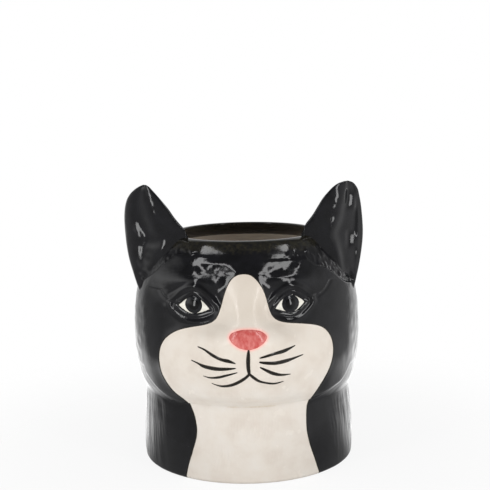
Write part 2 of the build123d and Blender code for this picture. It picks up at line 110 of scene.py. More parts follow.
# White coat: height, left edge, right edge
PATCH_EDGES = [
    (1.5, -39.0, 43.3), (5.0, -38.3, 42.2), (9.0, -37.4, 41.1), (13.0, -36.2, 39.9), (17.0, -34.9, 38.6),
    (21.0, -33.8, 37.4), (25.0, -32.6, 36.5), (29.0, -31.8, 35.8), (33.0, -31.6, 35.5), (37.0, -32.1, 35.5),
    (41.0, -32.9, 35.6), (45.0, -34.5, 36.1), (48.5, -36.6, 37.5), (51.5, -40.4, 39.4), (54.5, -44.6, 41.5),
    (57.5, -47.6, 43.6), (61.0, -50.2, 46.0), (65.0, -52.4, 48.4), (69.0, -53.6, 50.4), (73.0, -54.1, 51.8),
    (77.0, -54.1, 52.6), (81.0, -53.5, 52.7), (84.5, -52.3, 52.2), (87.5, -50.5, 51.2), (90.0, -48.2, 49.8),
    (92.0, -45.7, 48.2), (93.7, -42.9, 46.3), (95.1, -39.8, 43.8), (96.3, -36.0, 40.6), (97.3, -32.0, 36.2),
    (98.2, -28.2, 31.0), (99.1, -24.9, 25.8), (100.1, -22.2, 21.8), (101.3, -20.1, 18.9),
    (102.8, -18.4, 16.7), (104.8, -17.0, 15.0), (107.3, -15.9, 13.8), (110.3, -14.9, 12.8),
    (113.7, -13.9, 12.0), (117.2, -12.8, 11.0), (120.5, -11.6, 9.6), (123.3, -10.3, 7.9),
    (125.5, -8.9, 6.2), (127.1, -7.2, 4.5), (128.2, -5.4, 2.8), (128.8, -3.6, 1.1), (129.05, -1.25, -1.25),
]
PATCH_CLOSE = PATCH_EDGES[-1][0]
# Height of the patch's rounded top, whose border is followed in finer steps
PATCH_TOP = 3.05

# Eyes: the lids' edges from the left corner to the right one, the iris's middle, all x and height
EYES = {
    "left": {
        "upper": [(-41.7, 109.2), (-38.7, 111.8), (-35.5, 114.2), (-31.6, 115.9), (-26.3, 112.8),
                  (-21.6, 108.0)],
        "lower": [(-41.7, 109.2), (-39.0, 107.0), (-35.7, 105.4), (-32.1, 104.9), (-26.5, 105.9),
                  (-21.6, 108.0)],
        "iris": (-31.8, 110.4),
    },
    "right": {
        "upper": [(17.0, 107.9), (21.0, 112.7), (26.6, 115.9), (30.0, 114.9), (33.0, 112.9),
                  (35.7, 110.5)],
        "lower": [(17.0, 107.9), (20.9, 106.6), (26.5, 105.1), (30.3, 105.9), (33.0, 107.9),
                  (35.7, 110.5)],
        "iris": (26.6, 110.4),
    },
}
IRIS_RADIUS = 5.3
PUPIL_RADIUS = 3.3
EYEBALL_REACH = 1.9
EYEBALL_HALF_WIDTH = 7.2
EYEBALL_BEND = 10.5

# Ledges pressed into the clay, each a line of x and height: what is above the line stands out by the
# first number and falls off within the second, both in millimetres
BROW_LEDGES = [
    ([(-40.9, 110.4), (-44.5, 111.6), (-48.5, 113.2), (-50.9, 115.3), (-51.8, 117.3)], 0.55, 4.0),
    ([(35.4, 113.4), (40.9, 114.2), (45.1, 114.9), (48.6, 117.8), (50.9, 121.5)], 0.60, 4.0),
    ([(35.7, 110.2), (38.5, 111.2), (41.8, 112.7)], 0.22, 1.2),
    ([(33.0, 106.2), (36.5, 108.7), (39.8, 110.9)], 0.18, 1.2),
]
JAW_LEDGES = [
    ([(-66.0, 66.0), (-64.7, 62.1), (-60.6, 57.0), (-55.3, 52.4), (-50.1, 49.4), (-43.6, 47.6),
      (-38.0, 48.0)], 0.7, 7.0),
    ([(38.5, 48.8), (44.6, 50.4), (49.2, 51.6), (53.9, 53.6), (58.8, 55.9), (62.4, 59.9),
      (65.5, 65.0)], 0.7, 7.0),
]
# Bumps of the brow: x, height, rise, half width, half height
BROW_BUMPS = [
    (-22.0, 134.5, 0.35, 9.0, 2.6), (-30.5, 130.5, 0.35, 3.2, 3.0), (-30.0, 122.5, 0.35, 3.0, 3.5),
    (-15.8, 126.5, 0.28, 2.8, 5.5), (-5.5, 131.0, 0.30, 2.6, 2.4), (7.0, 130.0, 0.35, 3.2, 3.2),
    (18.0, 126.0, 0.35, 7.5, 2.8), (31.0, 131.5, 0.40, 4.0, 3.0),
]
# Shoulders in front of the ears' roots: below the line the head stands out, and that falls off
# within SHOULDER_FALL; above it the skin is uneven for a little way
SHOULDER_FALL = 9.0
SHOULDERS = [
    ([(-69.2, 114.6), (-63.4, 120.5), (-57.7, 124.8), (-51.1, 131.3), (-46.2, 134.8),
      (-41.7, 138.3)], 0.9),
    ([(36.5, 135.7), (41.6, 131.4), (48.0, 128.6), (54.5, 124.0), (60.8, 118.2), (65.1, 115.8)], 1.2),
]

# Edges of the ledges: half the step's width, and the place and width of the groove under it
BROW_EDGE = (0.5, -1.2, 1.0)
JAW_EDGE = (0.8, -2.2, 2.0)
# Folds of the eyelids: rise, distance from the opening's edge, width; grooves have a negative rise
LID_LIP = [(0.30, 1.4, 1.1)]
UPPER_LID = [(0.95, 4.9, 1.9), (-0.2, 2.8, 0.6), (-0.3, 7.8, 1.4)]
LOWER_LID = [(0.6, 4.6, 1.5), (-0.12, 2.9, 0.8)]
OPENING_DEPTH = 0.8
# Hollows beside the nose's bridge: x, height, rise, half width, half height
BRIDGE_HOLLOWS = [(-9.6, 103.5, -0.45, 3.0, 6.0), (10.2, 103.5, -0.45, 3.0, 6.0)]
# Unevenness left in the clay by hand: rise and size in millimetres, and the seed of its waves
BROW_LUMPS = [(0.08, 9.0, 3), (0.014, 2.8, 5)]
ROOT_LUMPS = [(0.30, 7.0, 31), (0.22, 3.2, 33)]
NECK_FUR = [(0.15, 7.0, 7), (0.06, 2.6, 8)]
FLANK_FUR = [(0.10, 4.0, 11)]
WALL_LUMPS = [(0.10, 16.0, 13)]
# Tufts combed into the bib: x, height, half width, half height
COMB_TUFTS = [(-16.5, 14.5, 9.0, 9.0), (17.0, 16.0, 5.5, 9.0), (3.0, 33.0, 14.0, 7.0)]
COMB_SPACING = 1.9
COMB_DEPTH = 0.09
# Radius at which a turn round the pot is measured as a length
GIRTH_RADIUS = 70.0

# Deepest the clay is carved, so that the coat never sinks to the body under it
CARVING_DEPTH = -0.28
# The coats start this much lower, so that their highest lumps stay within the model's size
LUMP_ROOM = 0.14

# Painted marks: the nose's outline, and strokes, each point with the stroke's width there
NOSE = [
    (-10.7, 94.9), (-10.1, 96.2), (-9.1, 97.2), (-6.2, 98.5), (-2.7, 99.2), (1.1, 99.3), (4.8, 99.0),
    (8.1, 98.1), (10.7, 96.5), (11.8, 95.2), (12.0, 94.3), (11.3, 92.5), (9.6, 90.9), (7.7, 89.7),
    (5.8, 88.7), (3.2, 87.9), (0.8, 87.5), (-1.7, 87.9), (-4.8, 88.8), (-6.8, 90.0), (-8.7, 91.4),
    (-10.3, 93.4),
]
MOUTH = [
    [(0.9, 88.2, 0.7), (0.7, 85.8, 1.6), (0.5, 82.2, 2.15), (0.4, 78.6, 2.15), (0.6, 75.4, 2.0),
     (1.1, 71.9, 1.4)],
    [(1.6, 73.3, 1.3), (-1.1, 70.3, 1.7), (-5.1, 67.5, 1.9), (-9.6, 65.3, 1.8), (-14.6, 64.2, 1.4),
     (-18.0, 64.5, 0.9), (-21.8, 65.6, 0.4)],
    [(0.4, 73.3, 1.3), (3.3, 70.4, 1.7), (6.7, 67.8, 1.5), (10.6, 66.4, 1.25), (15.1, 65.4, 1.2),
     (18.6, 65.6, 0.9), (21.6, 66.1, 0.4)],
]
LEFT_WHISKERS = [
    [(-29.8, 87.1, 0.6), (-25.5, 86.0, 1.1), (-20.5, 83.6, 1.75), (-15.5, 81.7, 1.65),
     (-11.2, 80.9, 1.9), (-6.8, 79.4, 0.6)],
    [(-34.0, 78.5, 0.6), (-29.8, 77.3, 1.0), (-26.2, 76.1, 1.95), (-19.7, 75.7, 2.2),
     (-13.2, 76.0, 1.8), (-6.6, 76.5, 0.65)],
    [(-26.8, 69.7, 0.4), (-22.4, 69.2, 1.0), (-17.3, 70.2, 1.5), (-12.4, 71.9, 1.35), (-5.7, 73.9, 0.55)],
]
RIGHT_WHISKERS = [
    [(7.0, 82.5, 0.8), (11.3, 83.5, 1.4), (16.3, 84.5, 1.6), (21.3, 85.1, 1.95), (25.4, 86.0, 1.25),
     (28.9, 86.9, 0.5)],
    [(6.8, 80.1, 0.9), (10.3, 79.5, 1.6), (16.2, 78.9, 1.9), (22.2, 79.1, 2.05), (27.3, 79.6, 1.35),
     (33.9, 80.6, 0.5)],
    [(7.2, 77.0, 0.7), (10.2, 75.3, 1.5), (15.1, 72.5, 2.0), (20.1, 70.7, 1.45), (26.0, 69.9, 0.45)],
]

# The brush spread its paint this much wider than the dark core that was measured
BRUSH_SPREAD = 1.2
STROKE_RISE = 0.30
NOSE_RISE = 0.55
# How far the paint's edges lie below the glaze
PAINT_SUNK = 0.05
NOSE_SUNK = 0.08

# The black coat's edge: how far it stands over the cream one, the bead of glaze beside the border,
# and how it thins out there, each with its width
COAT_PROUD = 0.06
BEAD_RISE, BEAD_WIDTH = 0.16, 2.5
EDGE_DROP, EDGE_WIDTH = 0.34, 0.5
# How far the black runs down inside the mouth and stands off the wall there
MOUTH_BAND = 9.0
MOUTH_PROUD = 0.12
# How far the cream coat runs on under the black one
PATCH_MARGIN = 0.8
FLOOR_CORNER = 6.0
# The border attribute, which thins the glaze where it is small and, held low along the rim, paints the
# black there olive brown as a painted reflection of leaves: its value far from any border, its value on the
# rim and its rise per millimetre below the rim's band
FAR = 50.0
RIM_BAND = 5.0
RIM_PAINTED_REFLECTION, RIM_PAINTED_REFLECTION_RISE = 0.58, 0.12
# Height below which the inside keeps one plan
INNER_FOOT = 9.0

# Ears: sizes in millimetres, and the share of the glaze's fine streaks that shows on them
EAR_FOOT = 108.0
EAR_SIDE = 77.5
EAR_FRONT = 28.0
EAR_SWEEP = 20.0
EAR_LEAN = 3.5
EAR_THICKNESS = 5.4
EAR_TIP_THICKNESS = 1.8
EAR_STREAKS = 0.15
# Their edges seen from the front: height as a share from the foot up, then the left ear's inner and
# outer edge and the right ear's, as shares of EAR_SIDE
EAR_SHARES = [
    (0.000, 0.722, 0.865, 0.722, 0.880), (0.111, 0.671, 0.901, 0.671, 0.912),
    (0.222, 0.606, 0.937, 0.606, 0.940), (0.333, 0.542, 0.970, 0.542, 0.963),
    (0.444, 0.471, 0.990, 0.471, 0.980), (0.542, 0.413, 1.000, 0.404, 0.986),
    (0.625, 0.497, 1.005, 0.477, 0.983), (0.708, 0.563, 1.005, 0.543, 0.976),
    (0.792, 0.616, 0.995, 0.594, 0.966), (0.861, 0.668, 0.974, 0.636, 0.953),
    (0.917, 0.713, 0.939, 0.683, 0.940), (0.958, 0.748, 0.897, 0.724, 0.917),
    (0.986, 0.774, 0.856, 0.768, 0.889), (1.000, 0.797, 0.826, 0.815, 0.855),
]
# Hollows (positive) and ridges of the ears' faces: place across and up the ear, depth in millimetres,
# size across and up, and how steep their sides are; places and sizes are shares of the ear
LEFT_EAR_HOLLOWS = [(0.66, 0.58, 5.0, 0.17, 0.33, 2), (0.40, 0.25, 1.0, 0.14, 0.12, 2)]
RIGHT_EAR_HOLLOWS = [
    (0.76, 0.55, 5.0, 0.200, 0.38, 4), (0.54, 0.38, -0.7, 0.045, 0.14, 2),
    (0.74, 0.14, 2.2, 0.090, 0.07, 2), (0.91, 0.58, -1.1, 0.035, 0.26, 2),
]
# Flat places in the right ear: place across, height, depth, half its width, half its height,
# and how far it falls back for each millimetre across and up
RIGHT_EAR_FLATS = [(68.6, 142.2, 0.4, 3.8, 5.6, 0.245, 0.29), (68.0, 168.0, 0.0, 3.2, 6.4, 0.245, 0.23)]


def read(table, at, column=1):
    """Smooth curve through one column of a table: between two rows a cubic that leaves each row with
    the slope of the line from the row before it to the row after it."""
    rows = np.array(table, float)
    keys, values = rows[:, 0], rows[:, column]
    last = len(keys) - 1
    low, high = np.maximum(np.arange(last + 1) - 1, 0), np.minimum(np.arange(last + 1) + 1, last)
    slopes = (values[high] - values[low]) / (keys[high] - keys[low])
    at = np.clip(at, keys[0], keys[last])
    i = np.clip(np.searchsorted(keys, at) - 1, 0, last - 1)
    step = keys[i + 1] - keys[i]
    t = (at - keys[i]) / step
    return (
        (2 * t**3 - 3 * t**2 + 1) * values[i]
        + (t**3 - 2 * t**2 + t) * step * slopes[i]
        + (3 * t**2 - 2 * t**3) * values[i + 1]
        + (t**3 - t**2) * step * slopes[i + 1]
    )


def profile():
    """Height, side, front and back reach of each section, foot to rim."""
    rows = [(h * JAW_HEIGHT, s * NECK_SIDE, f * NECK_FRONT, b * NECK_BACK) for h, s, f, b in NECK_SHARES]
    for height, side, front, back in HEAD_SHARES:
        rows.append((
            JAW_HEIGHT + height * (RIM_HEIGHT - JAW_HEIGHT),
            RIM_SIDE + side * (HEAD_SIDE - RIM_SIDE),
            RIM_FRONT + front * (HEAD_FRONT - RIM_FRONT),
            RIM_BACK + back * (HEAD_BACK - RIM_BACK),
        ))
    rows.append((RIM_HEIGHT, RIM_SIDE, RIM_FRONT, RIM_BACK))
    return rows


PROFILE = profile()


def hill(value, middle, width):
    """Bell curve: one at the middle, falling to 0.37 a width away."""
    return np.exp(-(((value - middle) / width) ** 2))


def ramp(value, low, high):
    """Nought below low, one above high, and a smooth S between them."""
    t = np.clip((value - low) / (high - low), 0, 1)
    return t * t * (3 - 2 * t)


def bumps(table, x, height):
    """Sum of a table's rounded reliefs at a place."""
    return sum(relief * hill(x, place, across) * hill(height, level, along)
               for place, level, relief, across, along in table)


def pot_point(angle, height, offset=0.0):
    """Point on the pot's plain skin. The section is half an ellipse in front and half behind, turn 0
    is the front; muzzle and relief push it out along the ellipse's normal, and offset adds to that."""
    angle, height = np.broadcast_arrays(np.asarray(angle, float), np.asarray(height, float))
    front = np.cos(angle) > 0
    side = read(PROFILE, height, 1)
    depth = np.where(front, read(PROFILE, height, 2), read(PROFILE, height, 3))
    x, y = side * np.sin(angle), -depth * np.cos(angle)
    normal_x, normal_y = np.sin(angle) / side, -np.cos(angle) / depth
    size = np.hypot(normal_x, normal_y)
    up = (height - JAW_HEIGHT) / (RIM_HEIGHT - JAW_HEIGHT)
    half_width = MUZZLE_HALF_WIDTH * read(MUZZLE_SHARES, up, 2)
    rise = MUZZLE_REACH * read(MUZZLE_SHARES, up, 1) * np.exp(-np.abs(x / half_width) ** MUZZLE_EDGE)
    rise = rise + bumps(EYE_RELIEF + FACE_RELIEF, x, height)
    out = offset + np.where(front, rise * np.sqrt(np.maximum(np.cos(angle), 0)), 0)
    return np.stack([x + normal_x / size * out, AXIS_Y + y + normal_y / size * out, height], -1)


def turn_at(height, x):
    """Turn round the pot at which the front of its plain skin lies at x, found by halving."""
    height, x = np.broadcast_arrays(np.asarray(height, float), np.asarray(x, float))
    low, high = np.full(x.shape, -math.pi / 2), np.full(x.shape, math.pi / 2)
    for _ in range(34):
        middle = (low + high) / 2
        left = pot_point(middle, height)[..., 0] < x
        low, high = np.where(left, middle, low), np.where(left, high, middle)
    return (low + high) / 2


def curve(points, count, closed=False):
    """Smooth line through points: cubic pieces whose slopes are taken from the neighbours."""
    points = np.array(points, float)
    first = points[-1:] if closed else 2 * points[:1] - points[1:2]
    last = points[:2] if closed else 2 * points[-1:] - points[-2:-1]
    padded = np.concatenate([first, points, last])
    spans = len(padded) - 3
    at = np.linspace(0, spans, count, endpoint=not closed)
    i = np.minimum(at.astype(int), spans - 1)
    t = (at - i)[:, None]
    a, b, c, d = padded[i], padded[i + 1], padded[i + 2], padded[i + 3]
    return 0.5 * (2 * b + (c - a) * t + (2 * a - 5 * b + 4 * c - d) * t**2 + (3 * b - a - 3 * c + d) * t**3)


def distance(points, line):
    """Distance of each point to the nearest segment of a line, worked out segment by segment."""
    points, line = np.asarray(points, float), np.asarray(line, float)
    best = np.full(points.shape[:-1], np.inf)
    for start, end in zip(line[:-1], line[1:]):
        along = end - start
        t = np.clip(((points - start) @ along) / (along @ along + 1e-12), 0, 1)
        best = np.minimum(best, np.linalg.norm(points - start - t[..., None] * along, axis=-1))
    return best


def above(place, line):
    """Distance from a line of x and height, positive above the line and negative below it."""
    order = np.argsort(line[:, 0])
    level = np.interp(place[:, 0], line[order, 0], line[order, 1])
    return np.where(place[:, 1] > level, 1, -1) * distance(place, line)


def waves(points, size, seed, count=14):
    """Smooth unevenness from -1 to 1 or so: a sum of plane waves of about that size in mm, whose
    directions and starts come from a seeded generator."""
    rng = np.random.default_rng(seed)
    total = np.zeros(points.shape[:-1])
    for _ in range(count):
        direction = rng.normal(size=points.shape[-1])
        direction *= 2 * math.pi / (size * rng.uniform(0.75, 1.5) * np.linalg.norm(direction))
        total += np.sin(points @ direction + rng.uniform(0, 2 * math.pi))
    return total / math.sqrt(count / 2) * 0.6


def uneven(points, table, count=14):
    """Sum of a table's waves at some points."""
    return sum(rise * waves(points, size, seed, count) for rise, size, seed in table)


def folds(away, table):
    """Sum of a table's folds at a distance from a line."""
    return sum(rise * hill(away, place, width) for rise, place, width in table)


LID_LINES = {
    name: {lid: curve(table[lid], 48) for lid in ("upper", "lower")} for name, table in EYES.items()
}
LEDGE_LINES = [(curve(points, 24), rise, fall, *BROW_EDGE) for points, rise, fall in BROW_LEDGES]
LEDGE_LINES += [(curve(points, 30), rise, fall, *JAW_EDGE) for points, rise, fall in JAW_LEDGES]
SHOULDER_LINES = [(curve(points, 30), drop) for points, drop in SHOULDERS]


def inside(points, outline):
    """Whether each point lies inside a closed outline, by counting the edges that pass over it."""
    found = np.zeros(points.shape[:-1], bool)
    for (x0, z0), (x1, z1) in zip(outline, np.roll(outline, -1, axis=0)):
        between = (z0 > points[..., 1]) != (z1 > points[..., 1])
        cross = (x1 - x0) * (points[..., 1] - z0) / (z1 - z0 + 1e-12) + x0
        found ^= between & (points[..., 0] < cross)
    return found


def lid_relief(place):
    """Relief of the eyelids in millimetres: a narrow lip round the opening, then a groove and a fold,
    broad over the eye and low under it; and the depth of the opening, sunk for the eyeball."""
    total, sunk = np.zeros(len(place)), np.zeros(len(place))
    for lines in LID_LINES.values():
        outline = np.concatenate([lines["upper"], lines["lower"][-2:0:-1]])
        middle = (lines["upper"][0, 1] + lines["upper"][-1, 1]) / 2
        away = distance(place, np.concatenate([outline, outline[:1]]))
        away = np.where(inside(place, outline), -away, away)
        upper = ramp(place[:, 1], middle - 1.5, middle + 1.5)
        total += folds(away, LID_LIP)
        total += upper * folds(away, UPPER_LID) + (1 - upper) * folds(away, LOWER_LID)
        sunk += OPENING_DEPTH * ramp(-away, -0.2, 0.6)
    return total, sunk


def face_detail(plain):
    """Relief of the face in millimetres over x and height: eyelids, the ledges beside them, the
    hollow sides of the nose's bridge, the jaw's edge and the shoulders in front of the ears."""
    place = plain[:, [0, 2]]
    total, sunk = lid_relief(place)
    for line, rise, fall, edge, groove, width in LEDGE_LINES:
        away = above(place, line)
        step = ramp(away, -edge, edge) * np.exp(-np.maximum(away, 0) / fall)
        total += rise * (step - 0.5 * hill(away, groove, width))
    for line, drop in SHOULDER_LINES:
        away = above(place, line)
        root = ramp(away, -0.3, 0.9) * (1 - ramp(away, 8, 14))
        total += drop * (1 - ramp(away, -0.3, 0.9)) * np.exp(-np.maximum(-away, 0) / SHOULDER_FALL)
        total += root * uneven(plain, ROOT_LUMPS)
    total += bumps(BRIDGE_HOLLOWS, place[:, 0], place[:, 1])
    return total, sunk


def comb_marks(x, height):
    """Marks of a comb drawn down the bib, in millimetres: fine upright grooves that bend a little."""
    total = np.zeros(x.shape)
    for place, level, across, along in COMB_TUFTS:
        bent = x - place + 0.012 * (height - level - 6) ** 2
        grooves = np.sin(2 * math.pi * bent / COMB_SPACING)
        total += COMB_DEPTH * grooves * hill(x, place, across) * hill(height, level, along)
    return total


def handwork(angle, height):
    """Fine relief of the cast surface in millimetres: the face's detail, soft hand-pressed lumps on
    the brow, fur cut down the neck and along the flanks, and comb marks on the bib."""
    plain = pot_point(angle, height)
    x, z = plain[..., 0], plain[..., 2]
    rise, sunk = np.zeros(x.shape), np.zeros(x.shape)
    near = (np.cos(angle) > 0) & (z > 42) & (z < 146)
    front = ramp(np.cos(angle), 0.0, 0.25)
    rise[near], sunk[near] = face_detail(plain[near])
    rise *= front
    brow = front * ramp(z, 112, 120) * (1 - ramp(z, 137, 145)) * ramp(np.abs(x + 1.2), 3, 9)
    rise += brow * uneven(plain, BROW_LUMPS) + front * bumps(BROW_BUMPS, x, z)
    around = np.abs(np.sin(angle / 2))
    girth = angle * GIRTH_RADIUS
    neck = ramp(z, 2, 6) * (1 - ramp(z, 42, JAW_HEIGHT)) * ramp(around, 0.34, 0.62)
    rise += neck * uneven(np.stack([girth + 0.10 * z, 0.16 * z], -1), NECK_FUR, 18)
    flank = ramp(z, 50, 58) * (1 - ramp(z, 96, 122)) * ramp(around, 0.42, 0.62)
    rise += flank * uneven(np.stack([0.45 * girth + 0.12 * z, 0.5 * z - 12 * angle], -1), FLANK_FUR, 18)
    rise += front * comb_marks(x, z)
    rise += uneven(plain, WALL_LUMPS) * (1 - ramp(z, 136, 144))
    return np.maximum(rise - LUMP_ROOM, CARVING_DEPTH) - sunk


def fur(angle, height):
    """How much the glaze's fine streaks show, from 0 to 1: most on neck and flanks."""
    around = np.abs(np.sin(angle / 2))
    low = (1 - ramp(height, 42, 50)) * ramp(around, 0.30, 0.60)
    flank = 0.7 * ramp(height, 42, 50) * (1 - ramp(height, 118, 138)) * ramp(around, 0.36, 0.60)
    return 0.12 + 0.88 * np.maximum(low, flank)


def axis_density(low, high, count, *peaks):
    """Places from low to high, closer together round each peak: (place, width, how many times)."""
    fine = np.linspace(low, high, 4001)
    density = np.ones(fine.shape)
    for place, width, times in peaks:
        density += times * hill(fine, place, width)
    total = np.concatenate([[0], np.cumsum((density[1:] + density[:-1]) / 2)])
    return np.interp(np.linspace(0, total[-1], count), total, fine)


# Laying a surface into the scene. Vertices closer than this many millimetres are one
WELD_GAP = 0.0005


def add_surface(name, *grids, close=False, flip=False, **attributes):
    """Mesh of one or more grids of points, rows by columns, in millimetres. close joins the last
    column to the first. Faces look out where columns run anticlockwise seen from above and rows run
    up, and flip turns them round. Vertices that lie together, in a pole or a seam, are merged."""
    faces, first = [], 0
    for points in grids:
        rows, columns = points.shape[:2]
        index = first + np.arange(rows * columns).reshape(rows, columns)
        first += rows * columns
        if close:
            index = np.concatenate([index, index[:, :1]], 1)
        a, b, c, d = index[:-1, :-1], index[:-1, 1:], index[1:, 1:], index[1:, :-1]
        order = (a, d, c, b) if flip else (a, b, c, d)
        faces.append(np.stack([corner.ravel() for corner in order], -1))
    faces = np.concatenate(faces)
    places = np.concatenate([points.reshape(-1, 3) for points in grids])
    mesh = bpy.data.meshes.new(name)
    mesh.vertices.add(len(places))
    mesh.vertices.foreach_set("co", (places * MM).astype(np.float32).ravel())
    mesh.loops.add(faces.size)
    mesh.loops.foreach_set("vertex_index", faces.astype(np.int32).ravel())
    mesh.polygons.add(len(faces))
    mesh.polygons.foreach_set("loop_start", np.arange(0, faces.size, 4, dtype=np.int32))
    mesh.update(calc_edges=True)
    mesh.validate()
    for key, values in attributes.items():
        layer = mesh.attributes.new(key, "FLOAT", "POINT")
        layer.data.foreach_set("value", values.astype(np.float32).ravel())
    work = bmesh.new()
    work.from_mesh(mesh)
    bmesh.ops.remove_doubles(work, verts=work.verts, dist=WELD_GAP * MM)
    work.to_mesh(mesh)
    work.free()
    mesh.shade_smooth()
    piece = bpy.data.objects.new(name, mesh)
    bpy.context.scene.collection.objects.link(piece)
    return piece


def finished(piece, material, slot, *nodes):
    """Give a piece its material and its place: it rides on the pot and stands for nodes, which are hidden.
    slot is not used.
    """
    piece.data.materials.append(material)
    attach(piece, "root")
    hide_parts(*nodes)
    return piece


# Materials
GLAZE_IOR = 1.5
# Scale of each axis for upright streaks, which come out about seven times as long as wide
UPRIGHT = (1.0, 1.0, 0.14)
# How far the cream glaze goes to a darker tone that is painted shade up the face: height in millimetres,
# share
CREAM_PAINTED_SHADE = [(52, 0.0), (70, 0.24), (88, 0.34), (112, 0.72)]


def rgba(colour):
    """Linear RGBA of an sRGB hex colour, or of a plain share from 0 to 1."""
    if not isinstance(colour, str):
        return [colour] * 3 + [1.0]
    parts = [int(colour[i:i + 2], 16) / 255 for i in (1, 3, 5)]
    return [p / 12.92 if p <= 0.04045 else ((p + 0.055) / 1.055) ** 2.4 for p in parts] + [1.0]


def fill(node, inputs):
    """Give a node's inputs, by name or in order, their values or hex colours, or link outputs in."""
    for key, value in inputs.items() if isinstance(inputs, dict) else enumerate(inputs):
        if isinstance(value, bpy.types.NodeSocket):
            node.id_data.links.new(value, node.inputs[key])
        else:
            node.inputs[key].default_value = rgba(value) if isinstance(value, str) else value


def add_node(tree, kind, inputs=(), output=0, stops=(), **settings):
    """One output of a new shader node with its settings and filled inputs. stops are the places and
    colours, or shares, of a colour ramp."""
    node = tree.nodes.new("ShaderNode" + kind)
    for key, value in settings.items():
        setattr(node, key, value)
    fill(node, inputs)
    for number, (place, colour) in enumerate(stops):
        elements = node.color_ramp.elements
        element = elements[number] if number < len(elements) else elements.new(place)
        element.position = place
        element.color = rgba(colour)
    return node.outputs[output]


def blotches(place, size_mm, detail=2.0):
    """Inputs of a noise pattern whose blotches are about size_mm across."""
    return {"Vector": place, "Scale": 1 / (size_mm * MM), "Detail": detail, "Roughness": 0.55}


def new_material(name):
    """New material, add_node for its tree, its principled shader and the piece's own coordinates."""
    material = bpy.data.materials.new(name)
    material.use_nodes = True
    add = partial(add_node, material.node_tree)
    return material, add, material.node_tree.nodes["Principled BSDF"], add("TexCoord", output="Object")


def black_glaze():
    """Glossy black earthenware glaze, brushed on and fired. It gives sharp reflections that break up
    on the brushed, faintly lumpy coat; where it thins out at the painted border it goes olive brown,
    and along the rim the same olive brown is a painted reflection of leaves."""
    material, add, shader, place = new_material("black_earthenware_glaze")
    clouds = add("TexNoise", blotches(place, 7.0))
    tone = add("ValToRGB", [clouds], stops=[(0.35, "#0D0D0F"), (0.7, "#151518")])
    ragged = add("TexNoise", blotches(place, 2.2))
    ragged = add("Math", [ragged, 0.5], operation="SUBTRACT")
    away = add("Attribute", output="Fac", attribute_name="border")
    away = add("Math", [away, ragged], operation="ADD")
    # Olive brown at the painted border, where the glaze thins, and along the rim, where it is a painted
    # reflection of leaves
    thin = add("ValToRGB", [away], stops=[(0.10, 1.0), (0.80, 0.0)])
    tone = add("Mix", {"Factor": thin, "A": tone, "B": "#302D20"}, "Result", data_type="RGBA")
    gloss = add("TexNoise", blotches(place, 11.0))
    gloss = add("ValToRGB", [gloss], stops=[(0.3, 0.06), (0.75, 0.12)])
    strands = add("Mapping", {"Vector": place, "Scale": UPRIGHT})
    strands = add("TexNoise", blotches(strands, 1.4, 3.0))
    share = add("Attribute", output="Fac", attribute_name="fur")
    relief = add("Bump", {"Strength": share, "Distance": 0.17 * MM, "Height": strands})
    fill(shader, {"Base Color": tone, "IOR": GLAZE_IOR, "Roughness": gloss, "Normal": relief})
    return material


def cream_glaze():
    """Glossy cream earthenware glaze over a white slip. It gives a warm white with faint cloudy
    mottling and fine combed lines, darkens with painted shade up the face to the bridge, and blushes
    pink where the nose's paint has bled into it."""
    material, add, shader, place = new_material("cream_earthenware_glaze")
    clouds = add("TexNoise", blotches(place, 14.0, 3.0))
    places = [(0.3, "#DDD3C8"), (0.5, "#E5DDD3"), (0.72, "#E9E3DB")]
    tone = add("ValToRGB", [clouds], stops=places)
    level = add("SeparateXYZ", [place], "Z")
    # Painted shade: the cream goes darker from the chin up over the cheeks and the bridge
    thin = add("ValToRGB", [level], stops=[(height * MM, share) for height, share in CREAM_PAINTED_SHADE])
    tone = add("Mix", {"Factor": thin, "A": tone, "B": "#CDC2B4"}, "Result", data_type="RGBA")
    blush = add("Attribute", output="Fac", attribute_name="blush")
    tone = add("Mix", {"Factor": blush, "A": tone, "B": "#F3BFB4"}, "Result", data_type="RGBA")
    gloss = add("TexNoise", blotches(place, 9.0))
    gloss = add("ValToRGB", [gloss], stops=[(0.3, 0.14), (0.75, 0.30)])
    lines = add("Mapping", {"Vector": place, "Scale": UPRIGHT})
    lines = add("TexNoise", blotches(lines, 1.1))
    relief = add("Bump", {"Strength": 0.22, "Distance": 0.3 * MM, "Height": lines})
    fill(shader, {"Base Color": tone, "IOR": GLAZE_IOR, "Roughness": gloss, "Normal": relief})
    fill(shader, {"Specular IOR Level": 0.4})
    return material


def painted(name, light, dark, size_mm, roughness, stretch=(1.0, 1.0, 1.0)):
    """Underglaze paint under a clear glaze: two tones of one colour in brushed streaks."""
    material, add, shader, place = new_material(name)
    streaks = add("Mapping", {"Vector": place, "Scale": stretch})
    streaks = add("TexNoise", blotches(streaks, size_mm, 3.0))
    tone = add("ValToRGB", [streaks], stops=[(0.38, dark), (0.66, light)])
    relief = add("Bump", {"Strength": 0.2, "Distance": 0.15 * MM, "Height": streaks})
    fill(shader, {"Base Color": tone, "IOR": GLAZE_IOR, "Roughness": roughness, "Normal": relief})
    return material


def line_paint():
    """Brown-black underglaze of the brushed lines. It gives a dense dark core and a thin olive-brown
    margin where the brush left less of it."""
    material, add, shader, place = new_material("brown_black_underglaze")
    ragged = add("TexNoise", blotches(place, 1.6))
    ragged = add("Math", [ragged, 0.7, -0.35], operation="MULTIPLY_ADD")
    margin = add("Attribute", output="Fac", attribute_name="margin")
    margin = add("Math", [margin, ragged], operation="ADD")
    tone = add("ValToRGB", [margin], stops=[(0.35, "#14110D"), (1.0, "#423B2E")])
    fill(shader, {"Base Color": tone, "IOR": GLAZE_IOR, "Roughness": 0.14})
    return material


